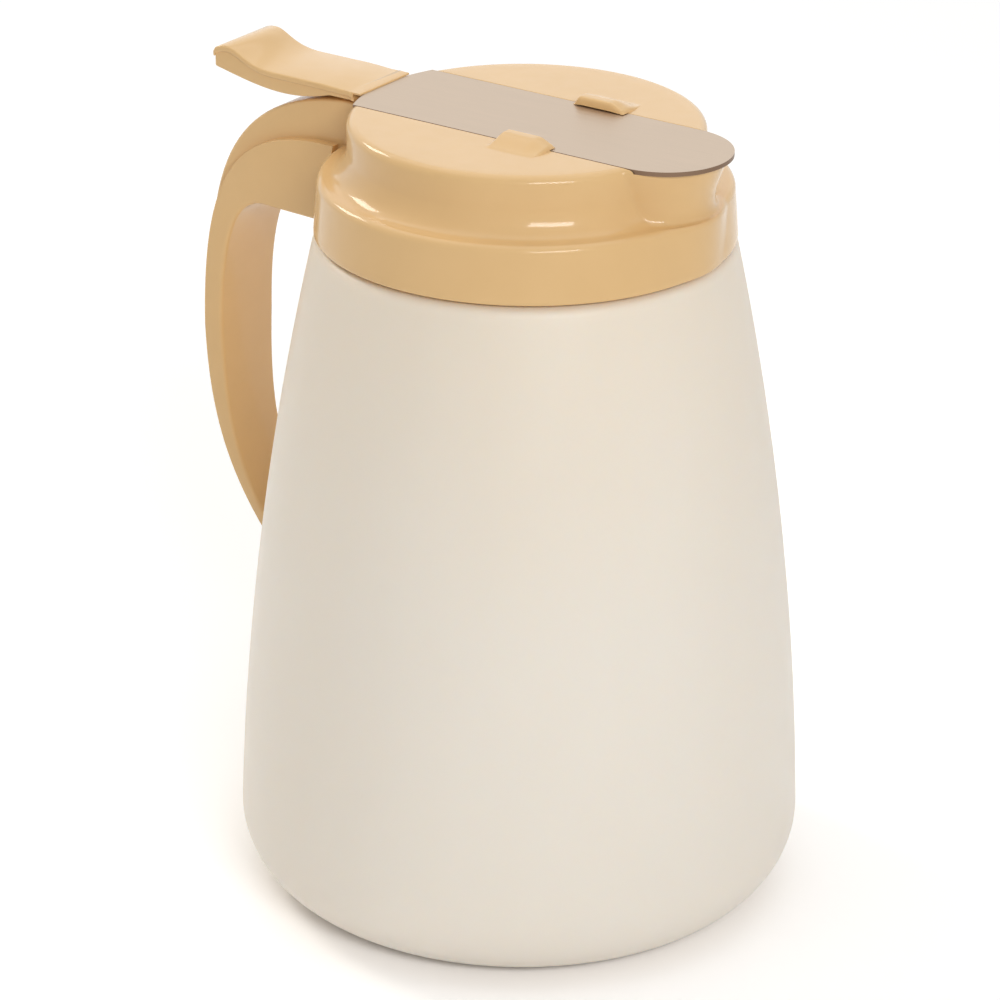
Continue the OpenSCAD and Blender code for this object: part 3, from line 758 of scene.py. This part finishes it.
def resample(points, count):
    points = [Vector(p) for p in points]
    lengths = [0.0]
    for a, b in zip(points, points[1:]):
        lengths.append(lengths[-1] + (b - a).length)
    out = []
    for i in range(count + 1):
        target = lengths[-1] * i / count
        k = max(j for j in range(len(points) - 1) if lengths[j] <= target + 1e-9)
        span = lengths[k + 1] - lengths[k]
        out.append(points[k].lerp(points[k + 1], (target - lengths[k]) / span))
    return [tuple(p) for p in out]


def strapHalf(z):
    h = handle
    low = h["tipZ"] - h["tip"]
    share = min(1, max(0, (z - low) / (h["bulgeZ"] - low)))
    return (h["tipWidth"] + (h["width"] - h["tipWidth"]) * share) / 2


def buildStrap():
    h, ledge = handle, collar["ledge"]
    outer = -h["reach"]
    inner = outer + h["grip"]
    tipIn = -sideAt(h["tipZ"]) - h["tipGap"]
    tipOut = tipIn - h["tip"]
    fall = h["bulgeZ"] - h["tipZ"]
    rootZ = ledge - h["rootDepth"]
    rootX = -sideAt(rootZ) - h["rootGap"]
    outerTop = [(h["rootX"] + 2, ledge)] + bezierPoints(
        [(h["rootX"], ledge), (h["rootX"] - h["topRun"], ledge), (outer, ledge - h["topBend"]),
         (outer, h["bulgeZ"])], 40)
    innerTop = [(rootX, rootZ)] + list(reversed(bezierPoints(
        [(inner, h["bulgeZ"]), (inner, rootZ - h["hollow"]),
         (inner + h["hollow"] / 3, rootZ + h["hollowRise"]),
         (inner + h["hollow"], rootZ + h["hollowRise"])], 30)))
    high, low = h["outerPull"]
    outerLow = bezierPoints(
        [(outer, h["bulgeZ"]), (outer, h["bulgeZ"] - fall * high),
         (tipOut - fall * low, h["tipZ"] + fall / 3), (tipOut, h["tipZ"] + h["tip"] / 2)], 40)
    high, low = h["innerPull"]
    innerLow = list(reversed(bezierPoints(
        [(tipIn, h["tipZ"]), (tipIn - fall * low, h["tipZ"] + fall / 3),
         (inner, h["bulgeZ"] - fall * high), (inner, h["bulgeZ"])], 40)))
    upper = list(zip(resample(outerTop, 26), resample(innerTop, 26)))
    lower = list(zip(resample(outerLow, 22), resample(innerLow, 22)))[1:]
    rungs = [(o, i, strapHalf((o[1] + i[1]) / 2)) for o, i in upper + lower]
    (ox, oz), (ix, iz), half = rungs[-1]
    for outX, outZ, inX, inZ, narrow in h["tipRungs"]:
        rungs.append(((ox + outX, oz - outZ), (ix - inX, iz - inZ), half - narrow))
    bm = ladder(rungs)
    # the side towards the fingers is rounder than the back
    inside = {(round(i[0], 3), round(i[1], 3)) for o, i, half in rungs[:-2]}
    grip = [e for e in sharpEdges(bm, h["behind"])
            if all((round(v.co.x, 3), round(v.co.z, 3)) in inside for v in e.verts)]
    roundEdges(bm, grip, h["gripEdge"], 6)
    roundEdges(bm, sharpEdges(bm, h["behind"]), h["backEdge"], 5)
    return makeObject("hookedHandle", bm)


def buildRib():
    h, ledge = handle, collar["ledge"]
    outer = -h["reach"]
    top = ledge + h["ribHeight"]
    endZ = h["bulgeZ"] + h["ribEnd"]
    crest = [(h["ribSeat"], top)] + bezierPoints(
        [(h["ribX"], top), (outer + h["ribBend"], top - h["ribFall"]),
         (outer + h["grip"] / 3, ledge - h["grip"] * h["ribHug"]), (outer + h["ribProud"], endZ)], 40)
    # the rib's root lies inside the strap and the collar: (x, depth below the ledge)
    root = [(x, ledge - depth) for x, depth in h["ribRoot"]] + [(outer + h["grip"] / 2, endZ)]
    bm = ladder([(o, i, h["ribWidth"] / 2) for o, i in zip(resample(crest, 30), resample(root, 30))])
    roundEdges(bm, sharpEdges(bm, h["ribEdgeFrom"]), h["ribEdge"], 3)
    return makeObject("rib", bm)


def buildHandle():
    strap = buildStrap()
    combine(strap, [buildRib()], "UNION")
    return finishPiece(strap, beigeFinish, "top", ["handle"], 40)


handlePiece = buildHandle()
print("handle made:", len(handlePiece.data.polygons), "faces")


# gate plate: a steel plate that slides back in the channel

gate = {
    "half": 15.3, "z": 183.5, "thick": 1.0, "frontX": 35.6, "rearX": -40, "rearRadius": 39.3,
    "tongueHalf": 6, "tongue": (-57.3, -38), "tab": (-5.4, -4.4), "tabHalf": 2.5, "tabLow": 177.9,
    "tabLap": 0.5, "edge": 0.12, "seam": 0.001, "weld": 0.002,
}


def buildGate():
    # a long bar is cut round at its rear, then gets its half-round front, the tongue and the spring tab
    g = gate
    z0, z1 = g["z"], g["z"] + g["thick"]
    plate = boxPiece("gatePlate", (g["rearX"], -g["half"], z0), (g["frontX"] - g["seam"], g["half"], z1))
    rounding = boxPiece("rounding", (0, -50, z0 - 1), (60, 50, z1 + 1))
    disc = conePiece("disc", 0, z0 - 1, z1 + 1, g["rearRadius"], g["rearRadius"], 192)
    combine(rounding, [disc], "UNION")
    combine(plate, [rounding], "INTERSECT")
    front = conePiece("front", g["frontX"], z0, z1, g["half"], g["half"], 160)
    tongue = boxPiece("tongue", (g["tongue"][0], -g["tongueHalf"], z0), (g["tongue"][1], g["tongueHalf"], z1))
    tab = boxPiece("tab", (g["tab"][0], -g["tabHalf"], g["tabLow"]),
                   (g["tab"][1], g["tabHalf"], z0 + g["tabLap"]))
    combine(plate, [front, tongue, tab], "UNION")
    bm = bmesh.new()
    bm.from_mesh(plate.data)
    bmesh.ops.remove_doubles(bm, verts=bm.verts, dist=g["weld"])
    bmesh.ops.dissolve_limit(bm, angle_limit=math.radians(0.5), verts=bm.verts, edges=bm.edges)
    roundEdges(bm, sharpEdges(bm, degrees=60), g["edge"], 2)
    bm.to_mesh(plate.data)
    bm.free()
    return finishPiece(plate, steelFinish, "gate", ["gate_plate"], 40)


gatePlate = buildGate()
print("gate plate made")


# thumb lever: a thin top over a slightly narrower core, with a foot on the plate

lever = {
    "width": 19, "rootDrop": 0.4, "rootRun": (3, 6, 11), "top": 185.3, "under": 182.7, "frontX": -40.5,
    "reach": 80, "lip": 3.7, "lipLength": 4, "lipPull": 0.6, "slope": 13, "slopePull": (0.62, 0.24),
    "heel": 0.9, "heelPull": (7, 2), "belly": 3, "bellyPull": (2.5, 1.1), "bellyX": 7, "edge": 0.9,
    "padThick": 1.5, "padMost": 0.6, "padEdge": 0.54, "inset": 0.45, "coreFrom": 0.15, "coreEnd": 0.3,
    "foot": (-43.0, -38.5), "footZ": (184.5, 184.9), "footSide": 0.1, "footEdge": 0.25,
}


def leverLines():
    # the top and the underside from the plate back to the upturned lip
    v = lever
    lipX, lipZ = v["lipLength"] - v["reach"], v["top"] + v["lip"]
    heelZ, rootZ = v["under"] + v["heel"], v["top"] - v["rootDrop"]
    deepX, deepZ = lipX + v["slope"], v["under"] - v["belly"]
    near, middle, far = (v["frontX"] - run for run in v["rootRun"])
    top = bezierPoints([(v["frontX"], rootZ), (near, rootZ), (middle, v["top"]), (far, v["top"])], 10)
    leave, arrive = v["slopePull"]
    top += bezierPoints([(deepX, v["top"]), (deepX - v["slope"] * leave, v["top"]),
                         (lipX + v["slope"] * arrive, lipZ), (lipX, lipZ)], 24)
    top += bezierPoints([(lipX, lipZ), (lipX - v["lipLength"] * v["lipPull"], lipZ),
                         (-v["reach"], lipZ - v["lip"] / 4), (-v["reach"], lipZ - v["lip"] / 2)], 10)[1:]
    backX, backZ = v["heelPull"]
    frontX, frontZ = v["bellyPull"]
    under = [(v["frontX"], v["under"])] + list(reversed(bezierPoints(
        [(-v["reach"], heelZ), (deepX - backX, heelZ - backZ), (deepX + frontX, deepZ - frontZ),
         (v["frontX"] - v["bellyX"], v["under"])], 40)))
    return list(zip(resample(top, 36), resample(under, 36)))


def leverFoot():
    v = lever
    half = v["width"] / 2 - v["footSide"]
    foot = boxPiece("foot", (v["foot"][0], -half, v["footZ"][0]), (v["foot"][1], half, v["footZ"][1]))
    bm = bmesh.new()
    bm.from_mesh(foot.data)
    seen = [e for e in bm.edges if min(p.co.z for p in e.verts) > v["footZ"][0] + 0.1
            and min(p.co.x for p in e.verts) > v["foot"][0] + 0.1]
    roundEdges(bm, seen, v["footEdge"], 3)
    bm.to_mesh(foot.data)
    bm.free()
    return foot


def buildLever():
    v = lever
    pairs = leverLines()
    behind = v["frontX"] - 0.01
    pad = []
    for a, b in pairs:
        share = min(v["padThick"] / (Vector(a) - Vector(b)).length, v["padMost"])
        pad.append((a, tuple(Vector(a).lerp(Vector(b), share)), v["width"] / 2))
    bm = ladder(pad)
    roundEdges(bm, sharpEdges(bm, behind), v["padEdge"], 4)
    body = makeObject("thumbLever", bm)
    narrow = v["width"] / 2 - v["inset"]
    core = [(tuple(Vector(a).lerp(Vector(b), v["coreFrom"])), b, narrow) for a, b in pairs]
    (ox, oz), (ix, iz), half = core[-1]
    core[-1] = ((ox + v["coreEnd"], oz), (ix + v["coreEnd"], iz), half)
    bm = ladder(core)
    roundEdges(bm, sharpEdges(bm, behind), v["edge"], 4)
    combine(body, [makeObject("core", bm)], "UNION")
    combine(body, [leverFoot()], "UNION")
    return finishPiece(body, beigeFinish, "gate", ["thumb_lever"], 40)


thumbLever = buildLever()
print("lever made:", len(thumbLever.data.polygons), "faces")


# return spring: a wound wire in the cover's trough

spring = {"start": -35.4, "length": 30, "wire": 0.5, "coil": 5.4, "turns": 10, "z": 180.15, "steps": 24}


def buildSpring():
    s = spring
    bm = bmesh.new()
    bmesh.ops.create_circle(bm, cap_ends=True, segments=12, radius=s["wire"] / 2)
    bmesh.ops.translate(bm, vec=(s["start"] + s["wire"], s["coil"] / 2, s["z"]), verts=bm.verts)
    bm.faces.ensure_lookup_table()
    steps = s["turns"] * s["steps"]
    rise = (s["length"] - 2 * s["wire"]) / steps
    bmesh.ops.spin(bm, geom=[bm.faces[0]], cent=(0, 0, s["z"]), axis=(1, 0, 0), dvec=(rise, 0, 0),
                   angle=math.radians(360 * s["turns"]), steps=steps, use_merge=False, use_normal_flip=False,
                   use_duplicate=False)
    coil = makeObject("returnSpring", bm)
    finishPiece(coil, wireFinish, "top", ["return_spring"], 50)
    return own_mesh(coil)


returnSpring = buildSpring()
print("return spring made:", len(returnSpring.data.polygons), "faces")


# studio: pale floor, soft lamps, camera at the photograph's angle

studio = {
    "floor": {"dark": (0.92, 0.92, 0.92), "light": (0.94, 0.94, 0.94), "grain": 30,
              "sockets": {"Roughness": 0.9, "Specular IOR Level": 0.1}},
    "floorHalf": 6, "floorSeen": (1.2, 1.2, 1.2), "floorFar": (0.3, 0.9),
    "sky": (1.0, 0.99, 0.975), "skyLevel": 0.36, "aim": (0, 0, 0.12),
}
lamps = [
    # name, (azimuth, height) in degrees, distance, size, watts, colour
    ("overhead", (124, 78), 1.2, (1.5, 1.5), 6.2, (1, 1, 1)),
    ("frontSoft", (-40, 30), 1.3, (0.56, 0.24), 6.2, (1, 1, 1)),
    ("leftStrip", (177, 34), 1.3, (0.36, 0.36), 4.2, (1.0, 0.94, 0.84)),
    ("rightSoft", (30, 30), 1.4, (0.6, 0.6), 0.7, (1, 1, 1)),
    ("backSoft", (124, 22), 1.3, (1.4, 0.7), 0.8, (1, 1, 1)),
]


def viewRays(tree):
    # 1 for what the camera sees straight, in gloss or through a clear wall; 0 for light on the object
    path = tree.nodes.new("ShaderNodeLightPath")
    last = path.outputs["Is Camera Ray"]
    for name in ("Is Glossy Ray", "Is Transmission Ray"):
        either = tree.nodes.new("ShaderNodeMath")
        either.operation = "MAXIMUM"
        tree.links.new(last, either.inputs[0])
        tree.links.new(path.outputs[name], either.inputs[1])
        last = either.outputs[0]
    return last


def mixShaders(tree, factor, first, second):
    mix = tree.nodes.new("ShaderNodeMixShader")
    tree.links.new(factor, mix.inputs["Fac"])
    tree.links.new(first.outputs[0], mix.inputs[1])
    tree.links.new(second.outputs[0], mix.inputs[2])
    return mix


def paleFloor():
    bm = bmesh.new()
    bmesh.ops.create_grid(bm, x_segments=1, y_segments=1, size=studio["floorHalf"])
    floor = makeObject("floor", bm)
    look = studio["floor"]
    mat, tree, shader, coords = newFinish("paleFloor")
    tint = tintNode(tree, noiseNode(tree, coords, look["grain"], 2), look["dark"], look["light"])
    tree.links.new(tint, shader.inputs["Base Color"])
    setSockets(shader, look["sockets"])
    # near the object the floor shows its shadow; further off it is seen as white as the surround
    near = tree.nodes.new("ShaderNodeBsdfDiffuse")
    near.inputs["Color"].default_value = (*studio["floorSeen"], 1)
    far = tree.nodes.new("ShaderNodeEmission")
    away = tree.nodes.new("ShaderNodeVectorMath")
    away.operation = "LENGTH"
    tree.links.new(coords.outputs["Object"], away.inputs[0])
    seen = mixShaders(tree, rangeNode(tree, away.outputs["Value"], studio["floorFar"], (0, 1)), near, far)
    both = mixShaders(tree, viewRays(tree), shader, seen)
    tree.links.new(both.outputs[0], tree.nodes["Material Output"].inputs["Surface"])
    floor.data.materials.append(mat)


def whiteSurround():
    world = bpy.data.worlds.new("surround")
    world.use_nodes = True
    scene.world = world
    tree = world.node_tree
    tree.nodes.clear()
    lit = tree.nodes.new("ShaderNodeBackground")
    lit.inputs["Color"].default_value = (*studio["sky"], 1)
    lit.inputs["Strength"].default_value = studio["skyLevel"]
    seen = tree.nodes.new("ShaderNodeBackground")
    seen.inputs["Color"].default_value = (1, 1, 1, 1)
    out = tree.nodes.new("ShaderNodeOutputWorld")
    tree.links.new(mixShaders(tree, viewRays(tree), lit, seen).outputs[0], out.inputs["Surface"])


def softLamp(name, direction, distance, size, watts, colour):
    azimuth, height = (math.radians(a) for a in direction)
    towards = Vector((math.cos(azimuth) * math.cos(height), math.sin(azimuth) * math.cos(height),
                      math.sin(height)))
    data = bpy.data.lights.new(name, "AREA")
    data.shape = "RECTANGLE"
    data.size, data.size_y = size
    data.energy = watts
    data.color = colour
    lamp = bpy.data.objects.new(name, data)
    lamp.location = Vector(studio["aim"]) + towards * distance
    lamp.rotation_mode = "QUATERNION"
    lamp.rotation_quaternion = towards.to_track_quat("Z", "Y")
    scene.collection.objects.link(lamp)


photoView = {
    "turn": 33.9, "back": 0.890, "height": 0.486828, "pitch": 23.895, "yaw": 0.330, "roll": 0.531,
    "focalPixels": 4260.909, "pixels": 1000, "sensor": 36, "clip": (0.05, 50),
}


def photoCamera():
    p = photoView
    pitch, yaw, roll, turn = (math.radians(p[k]) for k in ("pitch", "yaw", "roll", "turn"))
    ahead = Vector((-math.sin(yaw) * math.cos(pitch), math.cos(yaw) * math.cos(pitch), -math.sin(pitch)))
    level = Vector((math.cos(yaw), math.sin(yaw), 0))
    up = level.cross(ahead)
    right = level * math.cos(roll) + up * math.sin(roll)
    up = up * math.cos(roll) - level * math.sin(roll)
    spin = Matrix.Rotation(turn, 3, "Z")
    place = spin @ Vector((0, -p["back"], p["height"]))
    axes = Matrix([spin @ right, spin @ up, spin @ -ahead]).transposed()
    data = bpy.data.cameras.new("photoCamera")
    data.sensor_width = p["sensor"]
    data.lens = p["focalPixels"] * p["sensor"] / p["pixels"]
    data.clip_start, data.clip_end = p["clip"]
    cam = bpy.data.objects.new("photoCamera", data)
    cam.matrix_world = Matrix.Translation(place) @ axes.to_4x4()
    scene.collection.objects.link(cam)
    scene.camera = cam


paleFloor()
whiteSurround()
for lamp in lamps:
    softLamp(*lamp)
photoCamera()
scene.view_settings.view_transform = "Standard"
print("studio made")
